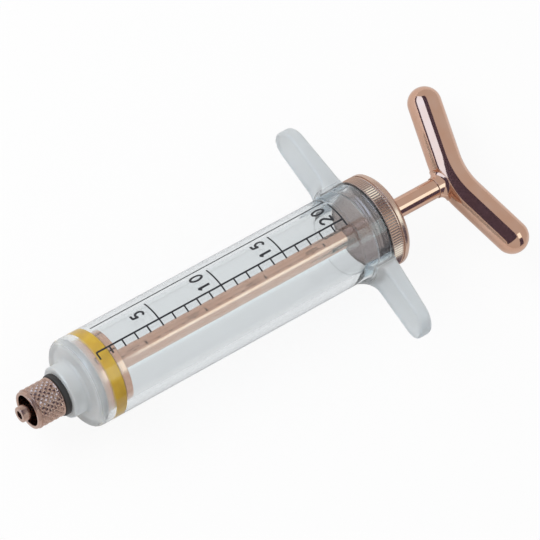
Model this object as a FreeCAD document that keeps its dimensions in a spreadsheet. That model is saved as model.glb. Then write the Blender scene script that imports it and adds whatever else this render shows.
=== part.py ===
import FreeCAD, Part
import math
import os
import Sketcher

# A reusable 20 ml dosing syringe, lying as it comes to rest: a clear moulded barrel with two
# finger wings, a screwed metal luer head, a piston on a rod with a bent handle, and a knurled cap.
# The syringe's axis is X, its luer tip is at the origin, the handle is towards +X and +Z is up.

os.makedirs("parts", exist_ok=True)
doc = FreeCAD.newDocument("Syringe")

# Driving dimensions, in millimetres, degrees, millilitres and counts
sheet = doc.addObject("Spreadsheet::Sheet", "Sizes")
SIZES = [
    ("capacity", 20), ("bore_diameter", 18.66), ("barrel_wall", 2.17), ("front_wall", 2.6),
    ("shoulder_round", 1.8), ("nose_diameter", 13.4), ("nose_length", 4.1), ("nose_chamfer", 0.4),
    ("inlet_diameter", 3.0), ("wing_span", 62.4), ("wing_breadth", 10.0),
    ("wing_root_thickness", 4.6), ("wing_tip_thickness", 3.0), ("wing_flare_round", 4.5),
    ("wing_side_round", 2.0), ("wing_edge_chamfer", 0.5), ("wing_lip_length", 5.2),
    ("wing_lip_round", 15.0), ("band_height", 0.2), ("flange_margin", 1.0),
    ("bore_front_chamfer", 0.4),
    ("socket_thread_diameter", 19.8), ("socket_relief", 0.3),
    ("tip_protrusion", 2.3), ("tip_diameter", 3.95), ("cone_taper", 0.06), ("tip_round", 0.25),
    ("luer_bore", 2.1), ("collar_length", 7.8), ("collar_diameter", 10.2), ("collar_chamfer", 0.4),
    ("collar_rim_width", 0.9), ("collar_rim_step", 0.25),
    ("lock_diameter", 8.0), ("lock_depth", 5.6), ("lock_mouth_chamfer", 0.35),
    ("spigot_diameter", 6.0), ("spigot_length", 5.6), ("spigot_chamfer", 0.4),
    ("spigot_end_room", 0.4),
    ("washer_thickness", 1.5), ("washer_diameter", 10.8), ("washer_bevel", 0.3),
    ("disc_clearance", 0.15), ("front_disc_thickness", 2.0), ("rear_disc_thickness", 2.0),
    ("disc_chamfer", 0.3), ("hub_diameter", 12.0), ("face_gap", 0.05),
    ("seal_thickness", 3.6), ("seal_clearance", 0.03), ("seal_bevel", 0.5),
    ("running_clearance", 0.05), ("rod_diameter", 5.0), ("stud_diameter", 4.0),
    ("stud_chamfer", 0.4), ("stud_cover", 0.8), ("rod_reach", 18.0),
    ("end_clearance", 0.25), ("cap_diameter", 24.4), ("cap_length", 5.5), ("boss_length", 3.2),
    ("boss_chamfer", 0.5), ("boss_relief_width", 1.1), ("boss_relief_depth", 0.6),
    ("cap_front_chamfer", 0.35), ("grip_width", 3.0), ("cap_neck_width", 0.4),
    ("cap_neck_depth", 0.35), ("cap_rear_chamfer", 1.0), ("guide_chamfer", 0.4),
    ("bar_diameter", 8.6), ("handle_span", 48.4), ("bend_angle", 15.5), ("bend_radius", 20.0),
    ("neck_reach", 1.6), ("neck_wall", 0.45), ("neck_round", 1.3), ("rod_end_room", 0.3),
    ("stud_end_room", 0.2), ("handle_roll", 10.0),
]
for row, (alias, number) in enumerate(SIZES, start=1):
    sheet.set(f"A{row}", alias)
    sheet.set(f"B{row}", str(number))
    sheet.setAlias(f"B{row}", alias)
doc.recompute()

# Places along the axis, each stacked on the piece before it
STROKE = "(Sizes.capacity * 1000 / (pi / 4 * Sizes.bore_diameter ^ 2))"
COLLAR_REAR = "(Sizes.tip_protrusion + Sizes.collar_length)"
NOSE_FRONT = f"({COLLAR_REAR} + Sizes.washer_thickness)"
BORE_FRONT = f"({NOSE_FRONT} + Sizes.nose_length + Sizes.front_wall)"
PISTON_FRONT = f"({BORE_FRONT} + Sizes.face_gap)"
SEAL_FRONT = f"({PISTON_FRONT} + Sizes.front_disc_thickness + Sizes.face_gap)"
SEAL_REAR = f"({SEAL_FRONT} + Sizes.seal_thickness)"
REAR_DISC_FRONT = f"({SEAL_REAR} + Sizes.face_gap)"
ROD_FRONT = f"({REAR_DISC_FRONT} + Sizes.rear_disc_thickness)"
BOSS_FRONT = f"({ROD_FRONT} + {STROKE} + Sizes.end_clearance)"
BARREL_END = f"({BOSS_FRONT} + Sizes.boss_length)"
CAP_REAR = f"({BARREL_END} + Sizes.cap_length)"
BAR_CENTRE = f"({CAP_REAR} + Sizes.rod_reach + Sizes.bar_diameter / 2)"

BORE_RADIUS = "Sizes.bore_diameter / 2"
BARREL_RADIUS = "(Sizes.bore_diameter / 2 + Sizes.barrel_wall)"
WING_REACH = "Sizes.wing_span / 2"
TIP_ROUND_CENTRE = f"({WING_REACH} - Sizes.wing_breadth / 2)"
# The cap's rim carries the rear end and one wing's round tip stops the roll
LYING_ROLL = f"asin((Sizes.cap_diameter - Sizes.wing_breadth) / 2 / {TIP_ROUND_CENTRE})"

# How near, in millimetres, an edge lies to where it is looked for, and the cosine that is along X
CLOSE = 0.01
ALONG = 0.9


def value(expression):
    """The number that an expression of the sheet's sizes gives."""
    return float(sheet.evalExpression(expression))


def new_body(name):
    body = doc.addObject("PartDesign::Body", name)
    body.Label = name
    return body


def origin_feature(body, role):
    return next(item for item in body.Origin.OriginFeatures if item.Role == role)


def new_sketch(body, name, plane="XY_Plane"):
    sketch = body.newObject("Sketcher::SketchObject", name)
    sketch.AttachmentSupport = (origin_feature(body, plane), [""])
    sketch.MapMode = "FlatFace"
    return sketch


def bind(sketch, constraint, name, expression):
    """Add a constraint and bind its size to an expression."""
    index = sketch.addConstraint(constraint)
    sketch.renameConstraint(index, name)
    sketch.setExpression(f"Constraints.{name}", expression)


def arc_between(start, end, radius, bend):
    """The arc of a given radius from start to end; bend is +1 to turn left and -1 to turn right."""
    middle = (start + end) / 2
    along = end - start
    half = along.Length / 2
    rise = math.sqrt(max(radius ** 2 - half ** 2, 0.0))
    left = FreeCAD.Vector(-along.y, along.x, 0).normalize()
    centre = middle + left * (rise * bend)
    first, last = (start, end) if bend > 0 else (end, start)
    angles = [math.atan2(point.y - centre.y, point.x - centre.x) for point in (first, last)]
    circle = Part.Circle(centre, FreeCAD.Vector(0, 0, 1), radius)
    return Part.ArcOfCircle(circle, angles[0], angles[1])


def outline(sketch, points, closed=True, prefix="p"):
    """Draw lines and arcs through points and bind every point and radius to its expression.

    A point is (x, y), or (x, y, radius, bend) where an arc from the point before it ends there.
    """
    places = [FreeCAD.Vector(value(point[0]), value(point[1]), 0) for point in points]
    count = len(points) if closed else len(points) - 1
    pieces = []
    for number in range(count):
        target = (number + 1) % len(points)
        start, end = places[number], places[target]
        if len(points[target]) == 4:
            bend = points[target][3]
            piece = sketch.addGeometry(arc_between(start, end, value(points[target][2]), bend))
            ends = (1, 2) if bend > 0 else (2, 1)
            bind(sketch, Sketcher.Constraint("Radius", piece, value(points[target][2])),
                 f"{prefix}_radius_{target}", points[target][2])
        else:
            piece = sketch.addGeometry(Part.LineSegment(start, end))
            ends = (1, 2)
        pieces.append((piece, ends))
    for number in range(count if closed else count - 1):
        piece, ends = pieces[number]
        following, following_ends = pieces[(number + 1) % count]
        joint = Sketcher.Constraint("Coincident", piece, ends[1], following, following_ends[0])
        sketch.addConstraint(joint)
    for number, point in enumerate(points):
        piece, ends = pieces[min(number, count - 1)]
        corner = ends[0] if number < count else ends[1]
        for axis, kind, size in (("x", "DistanceX", point[0]), ("y", "DistanceY", point[1])):
            bind(sketch, Sketcher.Constraint(kind, -1, 1, piece, corner, value(size)),
                 f"{prefix}_{axis}_{number}", size)


def revolve(body, name, points, kind="PartDesign::Revolution"):
    """Turn an outline drawn beside the X axis all the way round it."""
    sketch = new_sketch(body, f"{name}_sketch")
    outline(sketch, points)
    feature = body.newObject(kind, name)
    feature.Profile = (sketch, [""])
    feature.ReferenceAxis = (sketch, ["H_Axis"])
    feature.Angle = 360
    doc.recompute()
    return feature


def place(body, x_expression, roll_expression=None):
    """Seat a piece along the axis, and roll it so that its +Y side goes down."""
    body.Placement = FreeCAD.Placement(FreeCAD.Vector(), FreeCAD.Rotation(FreeCAD.Vector(-1, 0, 0), 1))
    body.setExpression("Placement.Base.x", x_expression)
    body.setExpression("Placement.Rotation.Angle", roll_expression or "0 deg")
    return body


def edges_where(feature, test):
    """Names of the edges of a feature whose middle point and edge pass a test."""
    names = []
    for number, edge in enumerate(feature.Shape.Edges, start=1):
        middle = edge.valueAt((edge.FirstParameter + edge.LastParameter) / 2)
        if test(middle, edge):
            names.append(f"Edge{number}")
    return names


def cut_along(body, name, sketch):
    """Cut a sketch along +X through everything, and check that it removed material."""
    before = body.Shape.Volume
    feature = body.newObject("PartDesign::Pocket", name)
    feature.Profile = (sketch, [""])
    feature.Reversed = True
    feature.Type = "ThroughAll"
    doc.recompute()
    if not feature.Shape.Volume < before:
        raise RuntimeError(f"{name} cut nothing")
    return feature


def make_barrel():
    """One clear moulding: nose, shoulder, tube, threaded socket for the cap and two finger wings.

    It is measured from the nose's front face. The wings start as a turned flange with a flare at
    its root and a raised lip at its rim, which is then trimmed to the outline of the two wings.
    """
    body = new_body("barrel")
    shoulder = "Sizes.nose_length"
    end = f"({BARREL_END} - {NOSE_FRONT})"
    wing_front = f"({end} - Sizes.wing_root_thickness)"
    flange_reach = f"({WING_REACH} + Sizes.flange_margin)"
    lip_length = "(Sizes.wing_lip_length + Sizes.flange_margin)"
    lip_rise = f"(Sizes.wing_lip_round - sqrt(Sizes.wing_lip_round ^ 2 - {lip_length} ^ 2))"
    revolve(body, "barrel_outside", [
        ("0", "0"),
        ("0", "Sizes.nose_diameter / 2 - Sizes.nose_chamfer"),
        ("Sizes.nose_chamfer", "Sizes.nose_diameter / 2"),
        (shoulder, "Sizes.nose_diameter / 2"),
        (shoulder, f"{BARREL_RADIUS} - Sizes.shoulder_round"),
        (f"{shoulder} + Sizes.shoulder_round", BARREL_RADIUS, "Sizes.shoulder_round", -1),
        (f"{wing_front} - Sizes.wing_flare_round", BARREL_RADIUS),
        (wing_front, f"{BARREL_RADIUS} + Sizes.wing_flare_round", "Sizes.wing_flare_round", 1),
        (wing_front, f"{flange_reach} - {lip_length}"),
        (f"{wing_front} - {lip_rise}", flange_reach, "Sizes.wing_lip_round", 1),
        (f"{wing_front} + Sizes.wing_tip_thickness", flange_reach),
        (end, BARREL_RADIUS),
        (end, "0"),
    ])

    # What lies outside this outline of the two wings and a low band between them is trimmed away
    half = "Sizes.wing_breadth / 2"
    side = "Sizes.wing_side_round"
    band = f"({BARREL_RADIUS} + Sizes.band_height)"
    join_y = f"sqrt(({band} + {side}) ^ 2 - ({half} + {side}) ^ 2)"
    touch_y = f"({join_y} * {band} / ({band} + {side}))"
    touch_z = f"(({half} + {side}) * {band} / ({band} + {side}))"
    trim = new_sketch(body, "wing_trim_sketch", "YZ_Plane")
    trim.setExpression("AttachmentOffset.Base.z", f"{wing_front} - Sizes.wing_flare_round")
    outline(trim, [
        (touch_y, touch_z, side, -1),
        (f"-{touch_y}", touch_z, band, 1),
        (f"-{join_y}", half, side, -1),
        (f"-{TIP_ROUND_CENTRE}", half),
        (f"-{WING_REACH}", "0", half, 1),
        (f"-{TIP_ROUND_CENTRE}", f"-{half}", half, 1),
        (f"-{join_y}", f"-{half}"),
        (f"-{touch_y}", f"-{touch_z}", side, -1),
        (touch_y, f"-{touch_z}", band, 1),
        (join_y, f"-{half}", side, -1),
        (TIP_ROUND_CENTRE, f"-{half}"),
        (WING_REACH, "0", half, 1),
        (TIP_ROUND_CENTRE, half, half, 1),
        (join_y, half),
    ])
    rim_radius = f"{flange_reach} + Sizes.flange_margin"
    rim_circle = Part.Circle(FreeCAD.Vector(), FreeCAD.Vector(0, 0, 1), value(rim_radius))
    rim = trim.addGeometry(rim_circle)
    trim.addConstraint(Sketcher.Constraint("Coincident", rim, 3, -1, 1))
    bind(trim, Sketcher.Constraint("Radius", rim, value(rim_radius)), "rim_radius", rim_radius)
    wings = cut_along(body, "wing_trim", trim)

    # The moulded edges of the wings are broken, out to where the flare begins
    edge_reach = value(f"{BARREL_RADIUS} + {side}")
    edge_start = value(f"{wing_front} - {lip_rise} - Sizes.wing_edge_chamfer")

    def is_wing_edge(middle, edge):
        runs_along_axis = abs(edge.tangentAt(edge.FirstParameter).x) > ALONG
        outside_flare = math.hypot(middle.y, middle.z) > edge_reach and middle.x > edge_start
        return outside_flare and not runs_along_axis

    broken = body.newObject("PartDesign::Chamfer", "wing_edges")
    broken.Base = (wings, edges_where(wings, is_wing_edge))
    broken.setExpression("Size", "Sizes.wing_edge_chamfer")
    doc.recompute()

    # The bore, with the head's socket in the nose and the cap's wider socket at the rear
    head_radius = "(Sizes.spigot_diameter / 2 + Sizes.running_clearance)"
    head_depth = "(Sizes.spigot_length - Sizes.washer_thickness + Sizes.spigot_end_room)"
    bore_front = f"({BORE_FRONT} - {NOSE_FRONT})"
    cap_radius = "Sizes.socket_thread_diameter / 2"
    cap_depth = "(Sizes.boss_length + Sizes.socket_relief)"
    revolve(body, "barrel_bore", [
        ("0", "0"),
        ("0", head_radius),
        (head_depth, head_radius),
        (head_depth, "Sizes.inlet_diameter / 2"),
        (bore_front, "Sizes.inlet_diameter / 2"),
        (bore_front, f"{BORE_RADIUS} - Sizes.bore_front_chamfer"),
        (f"{bore_front} + Sizes.bore_front_chamfer", BORE_RADIUS),
        (f"{end} - {cap_depth}", BORE_RADIUS),
        (f"{end} - {cap_depth}", cap_radius),
        (end, cap_radius),
        (end, "0"),
    ], kind="PartDesign::Groove")
    return place(body, NOSE_FRONT, LYING_ROLL)


def make_luer_head():
    """The turned metal head: a tapered luer tip in a knurled lock collar, on a threaded spigot."""
    body = new_body("luer_head")
    front = "Sizes.tip_protrusion"
    floor = "(Sizes.tip_protrusion + Sizes.lock_depth)"
    collar = "Sizes.collar_diameter / 2"
    rim = "(Sizes.collar_diameter / 2 - Sizes.collar_rim_step)"
    spigot_end = f"({COLLAR_REAR} + Sizes.spigot_length)"
    chamfer = "Sizes.collar_chamfer"
    revolve(body, "head_turning", [
        ("0", "Sizes.luer_bore / 2"),
        ("0", "Sizes.tip_diameter / 2 - Sizes.tip_round"),
        ("Sizes.tip_round", "(Sizes.tip_diameter + Sizes.tip_round * Sizes.cone_taper) / 2"),
        (floor, f"(Sizes.tip_diameter + {floor} * Sizes.cone_taper) / 2"),
        (floor, "Sizes.lock_diameter / 2"),
        (f"{front} + Sizes.lock_mouth_chamfer", "Sizes.lock_diameter / 2"),
        (front, "Sizes.lock_diameter / 2 + Sizes.lock_mouth_chamfer"),
        (front, f"{rim} - Sizes.tip_round"),
        (f"{front} + Sizes.tip_round", rim),
        (f"{front} + Sizes.collar_rim_width", rim),
        (f"{front} + Sizes.collar_rim_width", collar),
        (f"{COLLAR_REAR} - {chamfer}", collar),
        (COLLAR_REAR, f"{collar} - {chamfer}"),
        (COLLAR_REAR, "Sizes.spigot_diameter / 2"),
        (f"{spigot_end} - Sizes.spigot_chamfer", "Sizes.spigot_diameter / 2"),
        (spigot_end, "Sizes.spigot_diameter / 2 - Sizes.spigot_chamfer"),
        (spigot_end, "Sizes.luer_bore / 2"),
    ])
    return place(body, "0")


def make_ring(name, inner, outer, thickness, bevel, x_expression):
    """A soft ring with both of its outer edges bevelled."""
    body = new_body(name)
    revolve(body, f"{name}_section", [
        ("0", inner),
        ("0", f"{outer} - {bevel}"),
        (bevel, outer),
        (f"{thickness} - {bevel}", outer),
        (thickness, f"{outer} - {bevel}"),
        (thickness, inner),
    ])
    return place(body, x_expression)


def make_head_washer():
    inner = "(Sizes.spigot_diameter / 2 + Sizes.running_clearance)"
    return make_ring("head_washer", inner, "Sizes.washer_diameter / 2", "Sizes.washer_thickness",
                     "Sizes.washer_bevel", COLLAR_REAR)


def make_piston_seal():
    inner = "(Sizes.hub_diameter / 2 + Sizes.running_clearance)"
    return make_ring("piston_seal", inner, f"({BORE_RADIUS} - Sizes.seal_clearance)",
                     "Sizes.seal_thickness", "Sizes.seal_bevel", SEAL_FRONT)


def make_piston_front():
    """The front disc, with the hub that carries the seal and is screwed on the rod's stud."""
    body = new_body("piston_front")
    disc = f"({BORE_RADIUS} - Sizes.disc_clearance)"
    hub_end = f"({REAR_DISC_FRONT} - {PISTON_FRONT})"
    stud_hole = "(Sizes.stud_diameter / 2 + Sizes.running_clearance)"
    revolve(body, "front_disc_turning", [
        ("0", "0"),
        ("0", f"{disc} - Sizes.disc_chamfer"),
        ("Sizes.disc_chamfer", disc),
        ("Sizes.front_disc_thickness", disc),
        ("Sizes.front_disc_thickness", "Sizes.hub_diameter / 2"),
        (hub_end, "Sizes.hub_diameter / 2"),
        (hub_end, stud_hole),
        ("Sizes.stud_cover", stud_hole),
        ("Sizes.stud_cover", "0"),
    ])
    return place(body, PISTON_FRONT, "Sizes.handle_roll")


def make_piston_rear():
    """The rear disc, clamped between the hub and the rod's shoulder."""
    body = new_body("piston_rear")
    disc = f"({BORE_RADIUS} - Sizes.disc_clearance)"
    stud_hole = "(Sizes.stud_diameter / 2 + Sizes.running_clearance)"
    revolve(body, "rear_disc_turning", [
        ("0", stud_hole),
        ("0", disc),
        ("Sizes.rear_disc_thickness - Sizes.disc_chamfer", disc),
        ("Sizes.rear_disc_thickness", f"{disc} - Sizes.disc_chamfer"),
        ("Sizes.rear_disc_thickness", stud_hole),
    ])
    return place(body, REAR_DISC_FRONT, "Sizes.handle_roll")


def make_plunger_rod():
    """The rod, measured from its shoulder on the rear disc, with a thinner stud through the piston."""
    body = new_body("plunger_rod")
    stud_front = f"({PISTON_FRONT} + Sizes.stud_cover + Sizes.stud_end_room - {ROD_FRONT})"
    rod_end = f"({BAR_CENTRE} - Sizes.rod_end_room - {ROD_FRONT})"
    revolve(body, "rod_turning", [
        (stud_front, "0"),
        (stud_front, "Sizes.stud_diameter / 2 - Sizes.stud_chamfer"),
        (f"{stud_front} + Sizes.stud_chamfer", "Sizes.stud_diameter / 2"),
        ("0", "Sizes.stud_diameter / 2"),
        ("0", "Sizes.rod_diameter / 2"),
        (f"{rod_end} - Sizes.stud_chamfer", "Sizes.rod_diameter / 2"),
        (rod_end, "Sizes.rod_diameter / 2 - Sizes.stud_chamfer"),
        (rod_end, "0"),
    ])
    return place(body, ROD_FRONT, "Sizes.handle_roll")


def make_handle():
    """A bent bar with round ends and a conical neck bored for the rod, measured from its middle."""
    body = new_body("handle")
    bar = "Sizes.bar_diameter / 2"
    sweep = "Sizes.bend_angle"
    arc_x = f"(Sizes.bend_radius * (1 - cos({sweep})))"
    arc_y = f"(Sizes.bend_radius * sin({sweep}))"
    end_y = f"(Sizes.handle_span / 2 - {bar})"
    end_x = f"({arc_x} + ({end_y} - {arc_y}) * tan({sweep}))"
    path = new_sketch(body, "bar_path")
    outline(path, [("0", "0"), (arc_x, arc_y, "Sizes.bend_radius", -1), (end_x, end_y)], closed=False)
    section = new_sketch(body, "bar_section", "XZ_Plane")
    circle = section.addGeometry(Part.Circle(FreeCAD.Vector(), FreeCAD.Vector(0, 0, 1), value(bar)))
    section.addConstraint(Sketcher.Constraint("Coincident", circle, 3, -1, 1))
    bind(section, Sketcher.Constraint("Radius", circle, value(bar)), "bar_radius", bar)
    arm = body.newObject("PartDesign::AdditivePipe", "bar_arm")
    arm.Profile = (section, [""])
    arm.Spine = (path, ["Edge1", "Edge2"])
    doc.recompute()
    both = body.newObject("PartDesign::Mirrored", "both_arms")
    both.Originals = [arm]
    both.MirrorPlane = (origin_feature(body, "XZ_Plane"), [""])
    body.Tip = both
    doc.recompute()
    for side, side_y in (("left", end_y), ("right", f"-{end_y}")):
        ball = body.newObject("PartDesign::AdditiveSphere", f"{side}_bar_end")
        ball.setExpression("Radius", bar)
        ball.setExpression("Placement.Base.x", end_x)
        ball.setExpression("Placement.Base.y", side_y)
        doc.recompute()

    neck_front = f"(-{bar} - Sizes.neck_reach)"
    hole = "(Sizes.rod_diameter / 2 + Sizes.running_clearance)"
    neck_radius = f"({hole} + Sizes.neck_wall)"
    neck = revolve(body, "neck", [
        (neck_front, "0"),
        (neck_front, neck_radius),
        ("0", neck_radius),
        ("0", "0"),
    ])

    def is_neck_root(middle, edge):
        on_neck = abs(math.hypot(middle.y, middle.z) - value(neck_radius)) < CLOSE
        return on_neck and middle.x > value(neck_front) + CLOSE

    blend = body.newObject("PartDesign::Fillet", "neck_root")
    blend.Base = (neck, edges_where(neck, is_neck_root))
    blend.setExpression("Radius", "Sizes.neck_round")
    doc.recompute()
    revolve(body, "rod_socket", [
        (neck_front, "0"),
        (neck_front, hole),
        ("0", hole),
        ("0", "0"),
    ], kind="PartDesign::Groove")
    return place(body, BAR_CENTRE, "Sizes.handle_roll")


def make_cap():
    """The metal cap, measured from its seat on the barrel, with a threaded boss ahead of it.

    The grip in front of the neck groove is the band that carries the knurl.
    """
    body = new_body("cap")
    boss = "(Sizes.socket_thread_diameter / 2 - Sizes.running_clearance)"
    cap = "Sizes.cap_diameter / 2"
    guide = "(Sizes.rod_diameter / 2 + Sizes.running_clearance)"
    neck_end = "(Sizes.grip_width + Sizes.cap_neck_width)"
    revolve(body, "cap_turning", [
        ("-Sizes.boss_length", f"{guide} + Sizes.guide_chamfer"),
        ("-Sizes.boss_length", f"{boss} - Sizes.boss_chamfer"),
        ("-Sizes.boss_length + Sizes.boss_chamfer", boss),
        ("-Sizes.boss_relief_width", boss),
        ("-Sizes.boss_relief_width", f"{boss} - Sizes.boss_relief_depth"),
        ("0", f"{boss} - Sizes.boss_relief_depth"),
        ("0", f"{cap} - Sizes.cap_front_chamfer"),
        ("Sizes.cap_front_chamfer", cap),
        ("Sizes.grip_width", cap),
        ("Sizes.grip_width", f"{cap} - Sizes.cap_neck_depth"),
        (neck_end, f"{cap} - Sizes.cap_neck_depth"),
        (neck_end, cap),
        ("Sizes.cap_length - Sizes.cap_rear_chamfer", cap),
        ("Sizes.cap_length", f"{cap} - Sizes.cap_rear_chamfer"),
        ("Sizes.cap_length", f"{guide} + Sizes.guide_chamfer"),
        ("Sizes.cap_length - Sizes.guide_chamfer", guide),
        ("-Sizes.boss_length + Sizes.guide_chamfer", guide),
    ])
    return place(body, BARREL_END)


def write_parts(bodies):
    """Check every object of the document, then write each piece to a file of its own."""
    doc.recompute()
    for item in doc.Objects:
        if "Invalid" in item.State or "Error" in item.State:
            raise RuntimeError(f"{item.Name} failed: {item.State}")
    for body in bodies:
        if body.Shape.isNull() or not body.Shape.isValid() or len(body.Shape.Solids) != 1:
            raise RuntimeError(f"{body.Label} isn't one valid solid")
    for body in bodies:
        body.Shape.exportStep(f"parts/{body.Label}.step")
        print(f"{body.Label}: {body.Shape.Volume:.1f} mm3")


write_parts([
    make_barrel(),
    make_luer_head(),
    make_head_washer(),
    make_piston_front(),
    make_piston_seal(),
    make_piston_rear(),
    make_plunger_rod(),
    make_handle(),
    make_cap(),
])
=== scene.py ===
import bpy
import numpy as np
from mathutils import Matrix, Vector


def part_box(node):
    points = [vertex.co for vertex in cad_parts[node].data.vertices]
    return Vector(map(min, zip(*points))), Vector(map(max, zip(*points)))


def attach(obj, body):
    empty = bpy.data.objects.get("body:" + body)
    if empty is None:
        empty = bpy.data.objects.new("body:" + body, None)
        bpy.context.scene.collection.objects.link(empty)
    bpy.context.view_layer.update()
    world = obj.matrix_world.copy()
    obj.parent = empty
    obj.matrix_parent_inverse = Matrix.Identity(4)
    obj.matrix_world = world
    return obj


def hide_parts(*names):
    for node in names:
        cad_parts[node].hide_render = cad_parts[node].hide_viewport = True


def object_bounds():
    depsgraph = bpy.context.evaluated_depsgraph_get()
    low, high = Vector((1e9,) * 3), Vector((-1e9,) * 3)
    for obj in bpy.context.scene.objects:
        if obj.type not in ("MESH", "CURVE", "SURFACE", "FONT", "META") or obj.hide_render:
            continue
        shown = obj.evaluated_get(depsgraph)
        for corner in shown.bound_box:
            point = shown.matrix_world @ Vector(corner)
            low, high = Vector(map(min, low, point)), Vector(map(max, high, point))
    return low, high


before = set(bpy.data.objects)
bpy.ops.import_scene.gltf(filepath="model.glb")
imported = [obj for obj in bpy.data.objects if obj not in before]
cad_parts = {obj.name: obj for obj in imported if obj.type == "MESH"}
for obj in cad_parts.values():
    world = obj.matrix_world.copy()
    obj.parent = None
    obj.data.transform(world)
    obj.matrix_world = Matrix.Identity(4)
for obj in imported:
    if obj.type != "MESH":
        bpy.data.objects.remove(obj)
cad_low, cad_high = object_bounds()


# The clear barrel
# One moulding in a clear, slightly milky plastic: nose, shoulder, tube, and two finger wings that
# flare out of the tube. It is injection moulded, its edges are softly rounded, and it lies with
# one wing tip on the table.

# Sizes are in millimetres unless a comment says metres, and the meshes are in metres
MM = 0.001


def sized(node):
    """Lowest and highest corner of a node of the frame, in millimetres."""
    low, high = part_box(node)
    return np.array(low) / MM, np.array(high) / MM


def rounded(corners, steps=7):
    """An outline with its corners rounded: where two straight runs meet, an arc of the corner's
    radius touches both of them. A corner is (x, r, radius), and radius 0 keeps it sharp."""
    points = np.array([corner[:2] for corner in corners], float)
    before = np.roll(points, 1, axis=0) - points
    after = np.roll(points, -1, axis=0) - points
    outline = []
    for point, back, ahead, (_, _, radius) in zip(points, before, after, corners):
        if radius == 0:
            outline.append(point[None])
            continue
        back = back / np.linalg.norm(back)
        ahead = ahead / np.linalg.norm(ahead)
        half = np.arccos(np.clip(back @ ahead, -1, 1)) / 2
        middle = (back + ahead) / np.linalg.norm(back + ahead)
        centre = point + middle * radius / np.sin(half)
        sweep = np.linspace(-1, 1, steps)[:, None] * (np.pi / 2 - half)
        side = back - (back @ middle) * middle
        side = side / np.linalg.norm(side)
        outline.append(centre + radius * (-np.cos(sweep) * middle - np.sin(sweep) * side))
    return np.concatenate(outline)


def refined(outline, longest, closed=True):
    """The same outline with its straight runs divided so that no step is longer than given, by
    one length for all of them or by one for each. An outline that isn't closed ends at its last
    point, and has no run back to its first."""
    ends = np.roll(outline, -1, axis=0)
    counts = np.maximum(1, np.ceil(np.linalg.norm(ends - outline, axis=1) / longest).astype(int))
    if not closed:
        counts[-1] = 1
    pieces = [start + (end - start) * (np.arange(count) / count)[:, None]
              for start, end, count in zip(outline, ends, counts)]
    return np.concatenate(pieces)


def turned(outline, columns):
    """A surface of revolution: row i is the circle of radius r(i) about the X axis at x(i)."""
    angle = np.linspace(0, 2 * np.pi, columns, endpoint=False)
    x = np.repeat(outline[:, :1], columns, axis=1)
    radius = outline[:, 1:2]
    return np.stack([x, radius * np.sin(angle), radius * np.cos(angle)], axis=-1)


def quads(rows, columns, loop):
    """Corner numbers of a grid of quads that closes round its rows, and with loop along them."""
    row = np.arange(rows if loop else rows - 1)[:, None]
    column = np.arange(columns)[None, :]
    following = (row + 1) % rows
    beside = (column + 1) % columns
    corners = [row * columns + column, row * columns + beside,
               following * columns + beside, following * columns + column]
    corners = [np.broadcast_to(corner, (len(row), columns)) for corner in corners]
    return np.stack(corners, axis=-1).reshape(-1, 4)


def volume(points, faces):
    """Signed volume inside quads: a sixth of the sum of both halves' triple products."""
    a, b, c, d = (points[faces[:, i]] for i in range(4))
    halves = np.einsum("ij,ij->i", a, np.cross(b, c)) + np.einsum("ij,ij->i", a, np.cross(c, d))
    return halves.sum() / 6


def add_piece(name, grids, material, body, nodes=(), loop=True, crease=38):
    """Make one mesh of closed grids, given in millimetres, with its faces outward, and ride it on
    a body. Edges that turn by more than crease degrees stay sharp.

    A grid that doesn't loop shrinks at each end to one point, the middle of its last row, with a
    fan of triangles. They are written as quads with a repeated corner, which is dropped.
    """
    points, faces, start = [], [], 0
    for grid in grids:
        rows, columns = grid.shape[:2]
        flat = grid.reshape(-1, 3)
        corners = quads(rows, columns, loop)
        if not loop:
            column = np.arange(columns)
            beside = (column + 1) % columns
            last = (rows - 1) * columns
            first_pole = np.full(columns, rows * columns)
            last_pole = first_pole + 1
            flat = np.concatenate([flat, grid[0].mean(axis=0)[None], grid[-1].mean(axis=0)[None]])
            fans = [np.stack([first_pole, beside, column, column], axis=-1),
                    np.stack([last_pole, last + column, last + beside, last + beside], axis=-1)]
            corners = np.concatenate([corners, *fans])
        if volume(flat, corners) < 0:
            corners = corners[:, ::-1]
        points.append(flat)
        faces.append(corners + start)
        start += len(flat)
    points = np.concatenate(points) * MM
    lists = [[*dict.fromkeys(face)] for face in np.concatenate(faces).tolist()]
    mesh = bpy.data.meshes.new(name)
    mesh.from_pydata(points.tolist(), [], lists)
    mesh.materials.append(material)
    mesh.shade_smooth()
    mesh.set_sharp_from_angle(angle=np.radians(crease))
    mesh.update()
    piece = bpy.data.objects.new(name, mesh)
    bpy.context.scene.collection.objects.link(piece)
    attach(piece, body)
    if nodes:
        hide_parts(*nodes)


def new_material(name, **settings):
    """A material whose shader has these sockets set, with its node tree and that shader."""
    material = bpy.data.materials.new(name)
    material.use_nodes = True
    tree = material.node_tree
    shader = tree.nodes["Principled BSDF"]
    for socket, setting in settings.items():
        shader.inputs[socket.replace("_", " ")].default_value = setting
    return material, tree, shader


def noise(tree, scale, detail=3.0, stretch=(1, 1, 1)):
    """A noise on the object's own coordinates, stretched along the axes; scale is per metre."""
    place = tree.nodes.new("ShaderNodeTexCoord")
    mapping = tree.nodes.new("ShaderNodeMapping")
    mapping.inputs["Scale"].default_value = stretch
    texture = tree.nodes.new("ShaderNodeTexNoise")
    texture.inputs["Scale"].default_value = scale
    texture.inputs["Detail"].default_value = detail
    tree.links.new(place.outputs["Object"], mapping.inputs["Vector"])
    tree.links.new(mapping.outputs["Vector"], texture.inputs["Vector"])
    return texture.outputs["Fac"]


# Most of a noise's values lie between these
NOISE_LOW = 0.3
NOISE_HIGH = 0.7


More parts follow.
